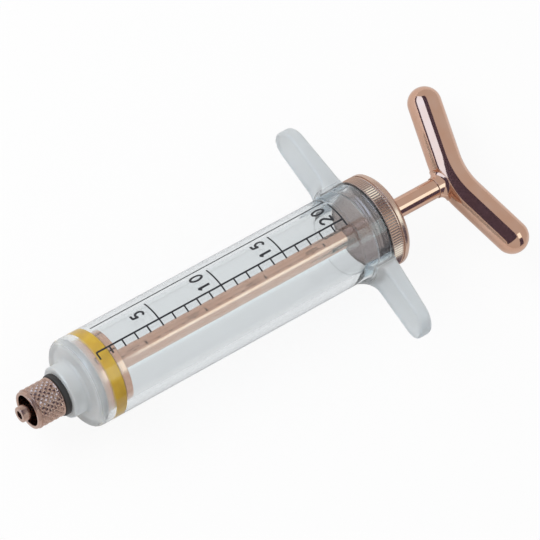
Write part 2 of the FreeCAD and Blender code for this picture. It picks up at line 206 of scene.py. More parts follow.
def ramp(tree, source, low, high, start=NOISE_LOW, end=NOISE_HIGH):
    """Turn a number between start and end into one between low and high."""
    spread = tree.nodes.new("ShaderNodeMapRange")
    spread.inputs["From Min"].default_value = start
    spread.inputs["From Max"].default_value = end
    spread.inputs["To Min"].default_value = low
    spread.inputs["To Max"].default_value = high
    tree.links.new(source, spread.inputs["Value"])
    return spread.outputs["Result"]


def bump(tree, shader, height, distance):
    """Tilt the shader's surface as a height from 0 to 1 would, where 1 is distance metres."""
    node = tree.nodes.new("ShaderNodeBump")
    node.inputs["Distance"].default_value = distance
    tree.links.new(height, node.inputs["Height"])
    tree.links.new(node.outputs["Normal"], shader.inputs["Normal"])


barrel_low, barrel_high = sized("barrel")
seal_low, seal_high = sized("piston_seal")
NOSE_FRONT = barrel_low[0]
BARREL_END = barrel_high[0]
SEAL_PLAY = 0.03
BORE = seal_high[1] + SEAL_PLAY
TUBE = 11.5
NOSE = 6.7
NOSE_LENGTH = 4.1
SHOULDER = NOSE_FRONT + NOSE_LENGTH
SHOULDER_THICK = 2.6
BORE_FRONT = SHOULDER + SHOULDER_THICK
WING_THICK = 4.6
WING_FRONT = BARREL_END - WING_THICK
FLARE = 4.5
WING_REACH = 31.2
WING_HALF = 5.0
WING_TIP_THICK = 3.0
WING_SIDE = 2.0
SLOPE_END = WING_REACH + 1
BAND_PROUD = 0.2
BAND = TUBE + BAND_PROUD
LIP_START = 26.0
LIP_ROUND = 15.0
SOCKET = 9.9
SOCKET_DEPTH = 3.5
HEAD_SOCKET = 3.05
HEAD_SOCKET_DEPTH = 4.5
INLET = 1.5

# The rounding of the rim's edges is least at the band and grows with the radius along the wings
EDGE_LEAST = 0.08
EDGE_GROWTH = 0.35
EDGE_MOST = 0.8

# The barrel is rolled until one wing tip is as low as the cap's rim
ROLL = np.arcsin((sized("cap")[1][2] - WING_HALF) / (WING_REACH - WING_HALF))


def wing_outline(tip_steps=26, side_steps=34, round_steps=9, band_steps=54):
    """Outline of the wings seen along the axis: half circles at the tips, straight sides, small
    rounds where the sides meet the band, and the band's arc between them. One quarter is laid out
    from the tip and mirrored to the other three."""
    join = np.sqrt((BAND + WING_SIDE) ** 2 - (WING_HALF + WING_SIDE) ** 2)
    centre = WING_REACH - WING_HALF
    turn = np.linspace(0, np.pi / 2, tip_steps)
    tip = np.stack([centre + WING_HALF * np.cos(turn), WING_HALF * np.sin(turn)], axis=-1)
    along = np.linspace(centre, join, side_steps)[1:]
    side = np.stack([along, np.full_like(along, WING_HALF)], axis=-1)
    meet = np.arctan2(WING_HALF + WING_SIDE, join)
    turn = np.linspace(-np.pi / 2, meet - np.pi, round_steps)[1:]
    blend = np.stack([join + WING_SIDE * np.cos(turn),
                      WING_HALF + WING_SIDE + WING_SIDE * np.sin(turn)], axis=-1)
    turn = np.linspace(meet, np.pi / 2, band_steps)[1:]
    band = BAND * np.stack([np.cos(turn), np.sin(turn)], axis=-1)
    quarter = np.concatenate([tip, side, blend, band])
    half = np.concatenate([quarter, quarter[-2::-1] * [-1, 1]])
    return np.concatenate([half, half[-2:0:-1] * [1, -1]])


def inset(outline, amount):
    """Move each point of a closed outline inward along its normal by an amount."""
    along = np.roll(outline, -1, axis=0) - np.roll(outline, 1, axis=0)
    normal = np.stack([-along[:, 1], along[:, 0]], axis=-1)
    normal /= np.linalg.norm(normal, axis=1, keepdims=True)
    return outline + normal * amount[:, None]


def front_of_wing(radius):
    """Where the wings' front face lies: a flare arc out of the tube, a plane, then a raised lip."""
    flare = np.sqrt(np.maximum(FLARE ** 2 - np.maximum(TUBE + FLARE - radius, 0) ** 2, 0)) - FLARE
    lip = LIP_ROUND - np.sqrt(LIP_ROUND ** 2 - np.maximum(radius - LIP_START, 0) ** 2)
    return WING_FRONT + flare - lip


def rear_of_wing(radius):
    """Where the wings' rear face lies: flat behind the tube, then sloping to the thinner tips."""
    share = np.maximum(radius - TUBE, 0) / (SLOPE_END - TUBE)
    return BARREL_END - share * (BARREL_END - WING_FRONT - WING_TIP_THICK)


def rows_between(start, end, shares, depth):
    """Rows on straight lines from one closed curve to another, at a depth that the radius gives."""
    flat = start + (end - start) * shares[:, None, None]
    return np.concatenate([depth(np.linalg.norm(flat, axis=-1))[..., None], flat], axis=-1)


def barrel_grid(longest=2.5, front_steps=34, edge_steps=6, rear_steps=22):
    """The barrel's whole skin as one grid that closes both ways: turned rows for nose, shoulder
    and tube, rows that spread from the tube's circle to the wings' outline and back over their
    rear face, and turned rows down the socket, bore and inlet to the nose again."""
    rim = wing_outline()
    reach = np.linalg.norm(rim, axis=1)
    edge = np.clip(EDGE_LEAST + EDGE_GROWTH * (reach - BAND), 0, EDGE_MOST)
    inner = inset(rim, edge)
    circle = rim / reach[:, None]

    def turned_rows(profile):
        x = np.repeat(profile[:, :1], len(rim), axis=1)[..., None]
        return np.concatenate([x, profile[:, 1][:, None, None] * circle], axis=-1)

    outside = rounded([
        (NOSE_FRONT, HEAD_SOCKET, 0), (NOSE_FRONT, NOSE, 0.6), (SHOULDER, NOSE, 0.8),
        (SHOULDER, TUBE, 1.8), (WING_FRONT - FLARE, TUBE, 0),
    ])
    outside = refined(outside, longest, closed=False)
    front_shares = np.linspace(0, 1, front_steps)[1:] ** 2
    front = rows_between(TUBE * circle, inner, front_shares, front_of_wing)

    quarter = np.linspace(0, np.pi / 2, edge_steps)[1:]
    front_edge_x = front_of_wing(np.linalg.norm(inner, axis=1))
    rear_edge_x = rear_of_wing(np.linalg.norm(inner, axis=1))

    def edge_rows(x, way, turn):
        flat = inner + (rim - inner) * np.sin(turn)[:, None, None]
        depth = x + way * edge * (1 - np.cos(turn))[:, None]
        return np.concatenate([depth[..., None], flat], axis=-1)

    front_edge = edge_rows(front_edge_x, 1, quarter)
    rear_edge = edge_rows(rear_edge_x, -1, quarter[::-1])
    rear = rows_between(inner, TUBE * circle, np.linspace(0, 1, rear_steps), rear_of_wing)
    inside = rounded([
        (BARREL_END, TUBE, 0), (BARREL_END, SOCKET, 0.3), (BARREL_END - SOCKET_DEPTH, SOCKET, 0.1),
        (BARREL_END - SOCKET_DEPTH, BORE, 0.15), (BORE_FRONT, BORE, 0.4),
        (BORE_FRONT, INLET, 0.2), (NOSE_FRONT + HEAD_SOCKET_DEPTH, INLET, 0),
        (NOSE_FRONT + HEAD_SOCKET_DEPTH, HEAD_SOCKET, 0.1), (NOSE_FRONT, HEAD_SOCKET, 0),
    ], steps=5)
    inside = refined(inside, longest, closed=False)[1:-1]
    rows = [turned_rows(outside), front, front_edge, rear_edge, rear, turned_rows(inside)]
    return np.concatenate(rows)


def rolled(grid, angle):
    """Turn a grid about the X axis so that its +Y side goes down."""
    sine, cosine = np.sin(angle), np.cos(angle)
    x, y, z = grid[..., 0], grid[..., 1], grid[..., 2]
    return np.stack([x, y * cosine + z * sine, z * cosine - y * sine], axis=-1)


def tones(tree, shader, source, first, second):
    """Colour the shader from the first tone to the second as a number rises."""
    blend = tree.nodes.new("ShaderNodeValToRGB")
    places = (NOISE_LOW, NOISE_HIGH)
    for stop, position, tone in zip(blend.color_ramp.elements, places, (first, second)):
        stop.position = position
        stop.color = (*tone, 1)
    tree.links.new(source, blend.inputs["Fac"])
    tree.links.new(blend.outputs["Color"], shader.inputs["Base Color"])


def along_and_out(tree):
    """The place along the X axis and the distance from that axis, in metres."""
    place = tree.nodes.new("ShaderNodeTexCoord")
    parts = tree.nodes.new("ShaderNodeSeparateXYZ")
    section = tree.nodes.new("ShaderNodeCombineXYZ")
    radius = tree.nodes.new("ShaderNodeVectorMath")
    radius.operation = "LENGTH"
    tree.links.new(place.outputs["Object"], parts.inputs["Vector"])
    tree.links.new(parts.outputs["Y"], section.inputs["Y"])
    tree.links.new(parts.outputs["Z"], section.inputs["Z"])
    tree.links.new(section.outputs["Vector"], radius.inputs[0])
    return parts.outputs["X"], radius.outputs["Value"]


def combined(tree, operation, first, second):
    """The MAXIMUM or MINIMUM of two numbers."""
    node = tree.nodes.new("ShaderNodeMath")
    node.operation = operation
    tree.links.new(first, node.inputs[0])
    tree.links.new(second, node.inputs[1])
    return node.outputs["Value"]


# The plastic turns from clear to milky between these two radii, and towards the nose between the
# place where the clear tube starts and the shoulder
CLEAR_RADIUS = TUBE + 0.1
MILKY_RADIUS = TUBE + 1.6
CLEAR_START = BORE_FRONT + 2.0
CLEAR_TONE = (0.885, 0.90, 0.905)
MILKY_TONE = (0.79, 0.81, 0.815)
CLEAR_TRANSMISSION = 0.985
MILKY_TRANSMISSION = 0.5
CLEAR_ROUGHNESS = 0.05
MILKY_ROUGHNESS = 0.3


def thick_share(tree):
    """0 in the tube's thin wall and 1 in the thick nose and wings, where the plastic is milkier:
    the larger of a rise with the distance from the axis and a rise towards the nose."""
    x, radius = along_and_out(tree)
    wings = ramp(tree, radius, 0, 1, CLEAR_RADIUS * MM, MILKY_RADIUS * MM)
    nose = ramp(tree, x, 1, 0, SHOULDER * MM, CLEAR_START * MM)
    return combined(tree, "MAXIMUM", wings, nose)


plastic, tree, shader = new_material("clear_plastic", IOR=1.5)
thick = thick_share(tree)
tones(tree, shader, thick, CLEAR_TONE, MILKY_TONE)
transmission = ramp(tree, thick, CLEAR_TRANSMISSION, MILKY_TRANSMISSION, 0, 1)
tree.links.new(transmission, shader.inputs["Transmission Weight"])
roughness = ramp(tree, thick, CLEAR_ROUGHNESS, MILKY_ROUGHNESS, 0, 1)
tree.links.new(roughness, shader.inputs["Roughness"])
bump(tree, shader, noise(tree, 160, detail=2, stretch=(0.35, 1, 1)), 0.00003)

# The plastic takes away some of the light on its way through, and its shadow is a pale one
absorption = tree.nodes.new("ShaderNodeVolumeAbsorption")
absorption.inputs["Color"].default_value = (0.61, 0.66, 0.69, 1)
absorption.inputs["Density"].default_value = 62.0
clear = tree.nodes.new("ShaderNodeBsdfTransparent")
clear.inputs["Color"].default_value = (0.88, 0.91, 0.92, 1)
path = tree.nodes.new("ShaderNodeLightPath")
through = tree.nodes.new("ShaderNodeMixShader")
output = tree.nodes["Material Output"]
tree.links.new(path.outputs["Is Shadow Ray"], through.inputs["Fac"])
tree.links.new(shader.outputs["BSDF"], through.inputs[1])
tree.links.new(clear.outputs["BSDF"], through.inputs[2])
tree.links.new(through.outputs["Shader"], output.inputs["Surface"])
tree.links.new(absorption.outputs["Volume"], output.inputs["Volume"])

add_piece("barrel_moulding", [rolled(barrel_grid(), ROLL)], plastic, "barrel",
          nodes=["barrel"], crease=50)


# The printed scale
# Black ink on the tube: a baseline with a short tick at each millilitre, a long tick and a number
# at each fifth, and a thin border line. It is screen printed, so it stands a hair proud.
SCALE_ZERO = seal_low[0]
MILLILITRE = 1000 / (np.pi * BORE ** 2)
LAST_MARK = 20
NUMBERED = 5
BASELINE = np.radians(21.4)
SHORT_TICK = 2.0 / TUBE
LONG_TICK = np.radians(51.5) - BASELINE
BORDER = np.radians(60)
INK_PROUD = 0.03
LINE_WIDTH = 0.46
TICK_WIDTH = LINE_WIDTH * 0.9
BORDER_WIDTH = 0.4
NUMBER_GAP = 3.7
DIGIT_HEIGHT = 3.2
DIGIT_WIDTH = 2.0
DIGIT_STROKE = 0.62
DIGIT_PITCH = 3.4
FIRST_DIGIT = 1.75
LONE_DIGIT = 3.8


def stroke(x, across, width):
    """A thin band of ink along a line on the tube. across is the distance round the tube from its
    top. The band's four long edges lie half its width to each side of the line, on the tube and
    a hair outside it."""
    along = np.stack([np.gradient(x), np.gradient(across)], axis=-1)
    along /= np.linalg.norm(along, axis=1, keepdims=True)
    corners = []
    for side, radius in ((1, TUBE + INK_PROUD), (-1, TUBE + INK_PROUD), (-1, TUBE), (1, TUBE)):
        angle = (across - side * along[:, 0] * width / 2) / TUBE
        corners.append(np.stack([x + side * along[:, 1] * width / 2,
                                 radius * np.sin(angle), radius * np.cos(angle)], axis=-1))
    return np.stack(corners, axis=1)


def arc_points(centre, size, start, end, count=22):
    """Points on an ellipse's arc, with angles in degrees from its right."""
    angle = np.radians(np.linspace(start, end, count))
    return np.stack([centre[0] + size[0] * np.cos(angle), centre[1] + size[1] * np.sin(angle)], -1)


# Each figure is drawn with lines and arcs in a box one wide and one high, from its lower left
FIGURES = {
    "0": [arc_points((0.5, 0.5), (0.42, 0.5), 90, 450, 40)],
    "1": [np.array([(0.28, 0.78), (0.55, 1.0), (0.55, 0.0)])],
    "2": [np.concatenate([arc_points((0.5, 0.7), (0.38, 0.3), 165, -35),
                          [(0.1, 0.0)], [(0.92, 0.0)]])],
    "5": [np.concatenate([[(0.84, 1.0)], [(0.24, 1.0)], [(0.16, 0.56)],
                          arc_points((0.46, 0.33), (0.4, 0.33), 120, -145)])],
}


def evenly(points, step=0.12):
    """Points at even steps along a line through the given ones."""
    length = np.concatenate([[0], np.cumsum(np.linalg.norm(np.diff(points, axis=0), axis=1))])
    count = max(2, int(np.ceil(length[-1] / step)))
    place = np.linspace(0, length[-1], count)
    return np.stack([np.interp(place, length, points[:, i]) for i in range(2)], axis=-1)


def figure(character, x_middle, across_middle):
    """Strokes of one figure, with its top towards the nose and its right round the tube."""
    bands = []
    for line in FIGURES[character]:
        flat = evenly((line - 0.5) * [DIGIT_WIDTH, DIGIT_HEIGHT])
        bands.append(stroke(x_middle - flat[:, 1], across_middle + flat[:, 0], DIGIT_STROKE))
    return bands


def scale_strokes(run_steps=120, long_steps=40, short_steps=10):
    """All the ink: lines as bands along X or round the tube, and the numbers' strokes."""
    base = BASELINE * TUBE
    end = SCALE_ZERO + LAST_MARK * MILLILITRE
    run = np.linspace(SCALE_ZERO, end, run_steps)
    border = np.linspace(seal_high[0], end, run_steps)
    bands = [stroke(run, np.full_like(run, base), LINE_WIDTH),
             stroke(border, np.full_like(border, BORDER * TUBE), BORDER_WIDTH)]
    for mark in range(LAST_MARK + 1):
        x = SCALE_ZERO + mark * MILLILITRE
        long_mark = mark and mark % NUMBERED == 0
        reach = base + LONG_TICK * TUBE if long_mark else base
        steps = long_steps if long_mark else short_steps
        across = np.linspace(base - SHORT_TICK * TUBE, reach, steps)
        bands.append(stroke(np.full_like(across, x), across, TICK_WIDTH))
        if long_mark:
            text = str(mark)
            first = LONE_DIGIT if len(text) == 1 else FIRST_DIGIT
            for place, character in enumerate(text):
                bands += figure(character, x - NUMBER_GAP, base + first + place * DIGIT_PITCH)
    return bands


ink, tree, shader = new_material("scale_ink", Base_Color=(0.018, 0.018, 0.022, 1))
worn = noise(tree, 2600, detail=2)
tree.links.new(ramp(tree, worn, 0.38, 0.62), shader.inputs["Roughness"])
add_piece("printed_scale", scale_strokes(), ink, "barrel", loop=False)


# The piston
# Two turned discs clamp a yellow rubber ring between them: the front disc has the hub that the
# ring sits on, and the rear one is held by the rod's shoulder. They slide as one in the bore.
front_low, front_high = sized("piston_front")
rear_low, rear_high = sized("piston_rear")
STUD_HOLE = 2.05
HUB = 6.0
FRONT_DISC = 2.0
HOLE_FLOOR = front_low[0] + 0.8

# Pieces that fit into each other lie this far apart
FIT = 0.05

# Inside this radius the front face is closed with a flat fan of triangles
FACE_MIDDLE = 0.4

# The plating's second tone is a share of its red, green and blue: a little deeper, or darker and
# bluish as painted shade in the grooves. Where that shade is painted, the soft change of tone goes
# up to a quarter of the way between the two.
DEEPER = np.array([0.97, 0.9, 0.84])
GROOVE_SHADE = np.array([0.5, 0.56, 0.66])
SOFT_MOST = 0.4

# The roughness lies between these shares of the given one
SMOOTHEST = 0.75
ROUGHEST = 1.5


def metal(name, tone, roughness, grain, stretch, depth, shade_in_grooves=None):
    """Polished plating: its roughness and tone change softly, and fine marks, of a grain per
    metre and a depth in metres, run one way. Its tone is the plating's reflectance with a rosy tint
    that is a painted reflection of warm surroundings. The last argument, when given, adds to its
    tree a share from 0 to 1 that darkens the tone as painted shade."""
    material, tree, shader = new_material(name, Metallic=1.0, Roughness=roughness)
    shade = noise(tree, 220)
    second = tone * DEEPER
    # Where a share is given, it darkens the tone as painted shade
    if shade_in_grooves:
        shade = ramp(tree, shade, NOISE_LOW, SOFT_MOST)
        shade = combined(tree, "MAXIMUM", shade, shade_in_grooves(tree))
        second = tone * GROOVE_SHADE
    tones(tree, shader, shade, tone, second)
    marks = noise(tree, grain, detail=4, stretch=stretch)
    rough = ramp(tree, marks, roughness * SMOOTHEST, roughness * ROUGHEST)
    tree.links.new(rough, shader.inputs["Roughness"])
    bump(tree, shader, marks, depth)
    return material


# The rosy tints of the platings below are a painted reflection of warm surroundings
turned_metal = metal("turned_metal", (0.72, 0.46, 0.34), roughness=0.16, grain=3000,
                     stretch=(6, 1, 1), depth=0.000004)

front_disc = rounded([
    (front_low[0], FACE_MIDDLE, 0), (front_low[0], front_high[1], 0.35),
    (front_low[0] + FRONT_DISC, front_high[1], 0.08), (front_low[0] + FRONT_DISC, HUB, 0),
    (front_high[0], HUB, 0.15), (front_high[0], STUD_HOLE, 0), (HOLE_FLOOR, STUD_HOLE, 0),
])
add_piece("front_disc", [turned(front_disc, 160)], turned_metal, "plunger",
          nodes=["piston_front"], loop=False)

rear_disc = rounded([
    (rear_low[0], STUD_HOLE, 0), (rear_low[0], rear_high[1], 0.08),
    (rear_high[0], rear_high[1], 0.35), (rear_high[0], STUD_HOLE, 0),
])
add_piece("rear_disc", [turned(rear_disc, 160)], turned_metal, "plunger",
          nodes=["piston_rear"])

# The ring is pressed against the bore with no air between them, so its edge lies just in the wall
RING_PRESSED = 0.02
RING = BORE + RING_PRESSED
yellow, tree, shader = new_material("yellow_rubber", Roughness=0.5)
tones(tree, shader, noise(tree, 420), (0.93, 0.55, 0.008), (0.78, 0.41, 0.004))
bump(tree, shader, noise(tree, 2400, detail=2), 0.00001)
ring = rounded([
    (seal_low[0], HUB + FIT, 0), (seal_low[0], RING, 0.4),
    (seal_high[0], RING, 0.4), (seal_high[0], HUB + FIT, 0),
])
add_piece("yellow_ring", [turned(ring, 192)], yellow, "piston_seal",
          nodes=["piston_seal"])


# The rod
# A polished round bar: a thinner stud passes through both discs, its shoulder clamps them, and its
# other end is screwed into the handle's neck. It slides and turns in the cap's guide hole.
rod_low, rod_high = sized("plunger_rod")
ROD = 2.5
STUD = 2.0

# Inside this radius both ends are closed with a flat fan of triangles
END_MIDDLE = 0.3

polished_metal = metal("polished_metal", (0.68, 0.44, 0.335), roughness=0.07, grain=1500,
                       stretch=(0.15, 1, 1), depth=0.000003)
rod = rounded([
    (rod_low[0], END_MIDDLE, 0), (rod_low[0], STUD, 0.35), (rear_high[0], STUD, 0),
    (rear_high[0], ROD, 0.12), (rod_high[0], ROD, 0.35), (rod_high[0], END_MIDDLE, 0),
])
add_piece("plunger_rod_bar", [turned(rod, 96)], polished_metal, "plunger",
          nodes=["plunger_rod"], loop=False)


# The handle
# A round bar bent to a shallow V, with ball ends and a short neck brazed to its middle that takes
# the rod. It is polished until it mirrors the room.
BAR = 4.3
BEND = np.radians(15.5)
BEND_RADIUS = 20.0
HANDLE_ROLL = np.radians(10.0)
HANDLE_FRONT = sized("handle")[0][0]
NECK_LENGTH = 1.6
BAR_CENTRE = HANDLE_FRONT + BAR + NECK_LENGTH
HANDLE_REACH = 24.2
HALF_SPAN = HANDLE_REACH - BAR
NECK = 2.7
NECK_ROUND = 1.6
NECK_STRAIGHT = 0.4
NECK_HOLE = ROD + FIT

# The neck's last visible row is repeated at this share of its size, just inside the bar, before
# the grid turns back to its hole
ROOT_SHRINK = 0.98


def bar_grid(columns=96, bend_steps=16, arm_steps=14, tip_steps=20):
    """The bent bar: circles carried along a path of two straight arms joined by an arc, which
    shrink as a half circle over each end."""
    arc_y = BEND_RADIUS * np.sin(BEND)
    arc_x = BEND_RADIUS * (1 - np.cos(BEND))
    bend = np.linspace(0, BEND, bend_steps)
    path = np.stack([BEND_RADIUS * (1 - np.cos(bend)), BEND_RADIUS * np.sin(bend)], axis=-1)
    arm = np.linspace(arc_y, HALF_SPAN, arm_steps)[1:]
    path = np.concatenate([path, np.stack([arc_x + (arm - arc_y) * np.tan(BEND), arm], axis=-1)])
    lean = np.concatenate([bend, np.full(len(arm), BEND)])
    turn = np.linspace(0, np.pi / 2, tip_steps)[1:-1]
    tip = path[-1] + BAR * np.sin(turn)[:, None] * [np.sin(BEND), np.cos(BEND)]
    path = np.concatenate([path, tip])
    lean = np.concatenate([lean, np.full(len(turn), BEND)])
    radius = np.concatenate([np.full(len(lean) - len(turn), BAR), BAR * np.cos(turn)])
    path = np.concatenate([path[:0:-1] * [1, -1], path])
    lean = np.concatenate([-lean[:0:-1], lean])
    radius = np.concatenate([radius[:0:-1], radius])
    angle = np.linspace(0, 2 * np.pi, columns, endpoint=False)
    out = radius[:, None] * np.cos(angle)
    x = path[:, :1] + out * np.cos(lean)[:, None]
    y = path[:, 1:] - out * np.sin(lean)[:, None]
    z = radius[:, None] * np.sin(angle)
    return rolled(np.stack([BAR_CENTRE + x, y, z], axis=-1), HANDLE_ROLL)


def neck_grid(columns=96, fillet_steps=14):
    """The neck: a turned sleeve that runs into the bar over the fillet that a ball leaves when it
    rolls round the root, touching both. The ball's centre is a ball's radius outside the sleeve
    and outside the bar, and the fillet is its arc from the one touching point to the other."""
    angle = np.linspace(0, 2 * np.pi, columns, endpoint=False)
    way = np.stack([np.zeros(columns), np.sin(angle), np.cos(angle)], axis=-1)
    centre = (NECK + NECK_ROUND) * way
    centre[:, 0] = -np.sqrt((BAR + NECK_ROUND) ** 2 - centre[:, 2] ** 2)
    to_bar = -centre * [1, 0, 1] / (BAR + NECK_ROUND)
    share = np.linspace(0, 1, fillet_steps)[:, None]
    opening = np.arccos(np.clip((-way * to_bar).sum(axis=1), -1, 1))
    arc = (np.sin((1 - share) * opening)[..., None] * -way
           + np.sin(share * opening)[..., None] * to_bar) / np.sin(opening)[:, None]
    fillet = centre + NECK_ROUND * arc
    front = HANDLE_FRONT - BAR_CENTRE
    mouth = rounded([(0, NECK_HOLE, 0), (front, NECK_HOLE, 0), (front, NECK, 0.12),
                     (front + NECK_STRAIGHT, NECK, 0)], steps=5)[1:-1]
    sleeve = np.repeat(mouth[:, :1, None], columns, axis=1) * [1, 0, 0] + mouth[:, 1:, None] * way
    inside = NECK_HOLE * way[None] - [BAR / 2, 0, 0]
    grid = np.concatenate([sleeve, fillet, fillet[-1:] * ROOT_SHRINK, inside])
    return rolled(grid + [BAR_CENTRE, 0, 0], HANDLE_ROLL)


add_piece("pull_handle", [bar_grid()], polished_metal, "plunger", nodes=["handle"],
          loop=False)
add_piece("handle_neck", [neck_grid()], polished_metal, "plunger")


# The cap
# A turned metal cap, knurled round its grip, with a threaded boss that screws into the barrel's
# rear socket and a hole that guides the rod.
cap_low, cap_high = sized("cap")
CAP = cap_high[1]
BOSS = SOCKET - FIT
BOSS_ROUND = 0.3
BOSS_END = BARREL_END - 1.1
UNDERCUT = BOSS - 0.6
GUIDE = ROD + FIT
GRIP_END = BARREL_END + 3.0
LINE_CUT_END = GRIP_END + 0.4
LINE_CUT = CAP - 0.35
CAP_BEVEL = 1.0
KNURL_TEETH = 108
KNURL_DEPTH = 0.3
KNURL_FADE = 0.25
THREAD_PITCH = 1.0
BOSS_THREAD = 0.4
# The painted shade in the grip's grooves fades out over this length before the grip's end
GROOVE_SHADE_FADE = 0.1

# Rows lie close together where a thread or a knurl is cut, and far apart elsewhere
FINE_STEP = 0.13
PLAIN_STEP = 2.0

# A point this near to a radius or to a place counts as lying on it
NEAR = 0.01


def wave(phase):
    """A triangle wave that falls from 1 to 0 and rises back over each whole number of phase."""
    return np.abs((phase % 1) * 2 - 1)


def cap_grid(columns=7 * KNURL_TEETH):
    """The cap's outline turned round, its grip cut by straight V grooves that fade at the edges,
    and its boss by a V thread, both as a depth taken off the radius."""
    outline = rounded([
        (cap_low[0], GUIDE, 0.3), (cap_low[0], BOSS, BOSS_ROUND),
        (BOSS_END, BOSS, 0), (BOSS_END, UNDERCUT, 0), (BARREL_END, UNDERCUT, 0),
        (BARREL_END, CAP, 0.3), (GRIP_END, CAP, 0.08),
        (GRIP_END, LINE_CUT, 0.08), (LINE_CUT_END, LINE_CUT, 0.08),
        (LINE_CUT_END, CAP, 0.12), (cap_high[0] - CAP_BEVEL, CAP, 0.5),
        (cap_high[0], CAP - CAP_BEVEL, 0.5), (cap_high[0], GUIDE, 0.4),
    ], steps=6)
    x, radius = outline.T
    has_thread = (radius > BOSS - NEAR) & (x < BOSS_END + NEAR)
    has_knurl = (radius > CAP - NEAR) & (x < GRIP_END)
    outline = refined(outline, np.where(has_thread | has_knurl, FINE_STEP, PLAIN_STEP))
    grid = turned(outline, columns)
    angle = np.linspace(0, 1, columns, endpoint=False)
    x, radius = outline[:, :1], outline[:, 1:]
    from_edge = np.minimum(x - BARREL_END, GRIP_END - x)
    grip = np.clip(from_edge / KNURL_FADE, 0, 1) * (radius > CAP - KNURL_DEPTH - NEAR)
    groove = KNURL_DEPTH * grip * (1 - wave(angle * KNURL_TEETH))
    on_boss = (x > cap_low[0] + BOSS_ROUND) & (x < BOSS_END - NEAR) & (radius > BOSS - NEAR)
    thread = BOSS_THREAD * on_boss * (1 - wave(x / THREAD_PITCH - angle))
    shrink = 1 - (groove + thread) / radius
    return grid * np.stack([np.ones_like(shrink), shrink, shrink], axis=-1)


def cap_tarnish(tree):
    """Painted shade: 1 at the bottom of the grip's grooves and on the boss, and 0 on the crests
    and the rear.
    """
    x, radius = along_and_out(tree)
    deep = ramp(tree, radius, 1, 0, (CAP - KNURL_DEPTH) * MM, CAP * MM)
    before_rim = ramp(tree, x, 1, 0, (GRIP_END - GROOVE_SHADE_FADE) * MM, GRIP_END * MM)
    return combined(tree, "MINIMUM", deep, before_rim)


# The cap's plating is darker in its grooves and on its boss: painted shade
brushed_metal = metal("brushed_metal", (0.68, 0.48, 0.375), roughness=0.2, grain=2600,
                      stretch=(1, 5, 5), depth=0.00001, shade_in_grooves=cap_tarnish)
add_piece("knurled_cap", [cap_grid()], brushed_metal, "cap", nodes=["cap"])


# The luer head
# One turning: the tapered luer tip stands in the middle of a lock collar with a diamond knurl, and
# a threaded spigot behind it screws into the barrel's nose, over a black washer.
washer_low, washer_high = sized("head_washer")
head_high = sized("luer_head")[1]
COLLAR = head_high[1]
COLLAR_FRONT = 2.3
COLLAR_REAR = washer_low[0]
FRONT_BAND_END = COLLAR_FRONT + 0.9
FRONT_BAND = COLLAR - 0.25
LOCK = 4.0
LOCK_FLOOR = COLLAR_FRONT + 5.6
TIP = 1.975
TAPER = 0.03
LUER_BORE = 1.05
SPIGOT = 3.0
SPIGOT_THREAD = 0.3
THREAD_START = COLLAR_REAR + 1.6
THREAD_END = head_high[0] - 0.4
DIAMONDS = 21
DIAMOND_DEPTH = 0.34
DIAMOND_FADE = 0.3
DIAMOND_START = COLLAR_FRONT + 1.0
DIAMOND_END = COLLAR_REAR - 0.4

# Up to here the rows still belong to the collar's rear face
REAR_FACE_END = COLLAR_REAR + 0.05


def head_grid(columns=20 * DIAMONDS):
    """The head's outline turned round. The collar is cut by two families of helical grooves that
    cross in diamonds, and the spigot by a V thread."""
    outline = rounded([
        (0, LUER_BORE, 0.1), (0, TIP, 0.2), (LOCK_FLOOR, TIP + LOCK_FLOOR * TAPER, 0.1),
        (LOCK_FLOOR, LOCK, 0.2), (COLLAR_FRONT, LOCK, 0.25), (COLLAR_FRONT, FRONT_BAND, 0.22),
        (FRONT_BAND_END, FRONT_BAND, 0.05), (FRONT_BAND_END, COLLAR, 0.1),
        (COLLAR_REAR, COLLAR, 0.35), (COLLAR_REAR, SPIGOT, 0.1), (head_high[0], SPIGOT, 0.35),
        (head_high[0], LUER_BORE, 0.1),
    ], steps=6)
    x, radius = outline.T
    on_spigot = (x > REAR_FACE_END) & (radius > SPIGOT - NEAR)
    is_cut = (radius > COLLAR - NEAR) | on_spigot
    outline = refined(outline, np.where(is_cut, FINE_STEP, PLAIN_STEP))
    grid = turned(outline, columns)
    angle = np.linspace(0, 1, columns, endpoint=False)
    x, radius = outline[:, :1], outline[:, 1:]
    pitch = 2 * np.pi * COLLAR / DIAMONDS
    left = 1 - wave(angle * DIAMONDS + x / pitch)
    right = 1 - wave(angle * DIAMONDS - x / pitch)
    from_edge = np.minimum(x - DIAMOND_START, DIAMOND_END - x)
    on_collar = np.clip(from_edge / DIAMOND_FADE, 0, 1) * (radius > COLLAR - NEAR)
    diamonds = DIAMOND_DEPTH * on_collar * np.maximum(left, right)
    has_thread = (x > THREAD_START) & (x < THREAD_END) & (radius > SPIGOT - NEAR)
    thread = SPIGOT_THREAD * has_thread * (1 - wave(x / THREAD_PITCH - angle))
    shrink = 1 - (diamonds + thread) / radius
    return grid * np.stack([np.ones_like(shrink), shrink, shrink], axis=-1)


head_metal = metal("head_metal", (0.50, 0.355, 0.30), roughness=0.15, grain=2600,
                   stretch=(1, 5, 5), depth=0.00001)
add_piece("lock_head", [head_grid()], head_metal, "luer_head", nodes=["luer_head"])

black, tree, shader = new_material("black_rubber", Base_Color=(0.03, 0.026, 0.024, 1), Roughness=0.6)
bump(tree, shader, noise(tree, 3000), 0.00002)
washer = rounded([
    (washer_low[0], SPIGOT + FIT, 0), (washer_low[0], washer_high[1], 0.4),
    (washer_high[0], washer_high[1], 0.4), (washer_high[0], SPIGOT + FIT, 0),
])
add_piece("black_washer", [turned(washer, 128)], black, "head_washer",
          nodes=["head_washer"])


# The table, the light and the camera
# A white table top under soft studio light, seen along the direction of the photograph, with a
# long lens from above the nose end.

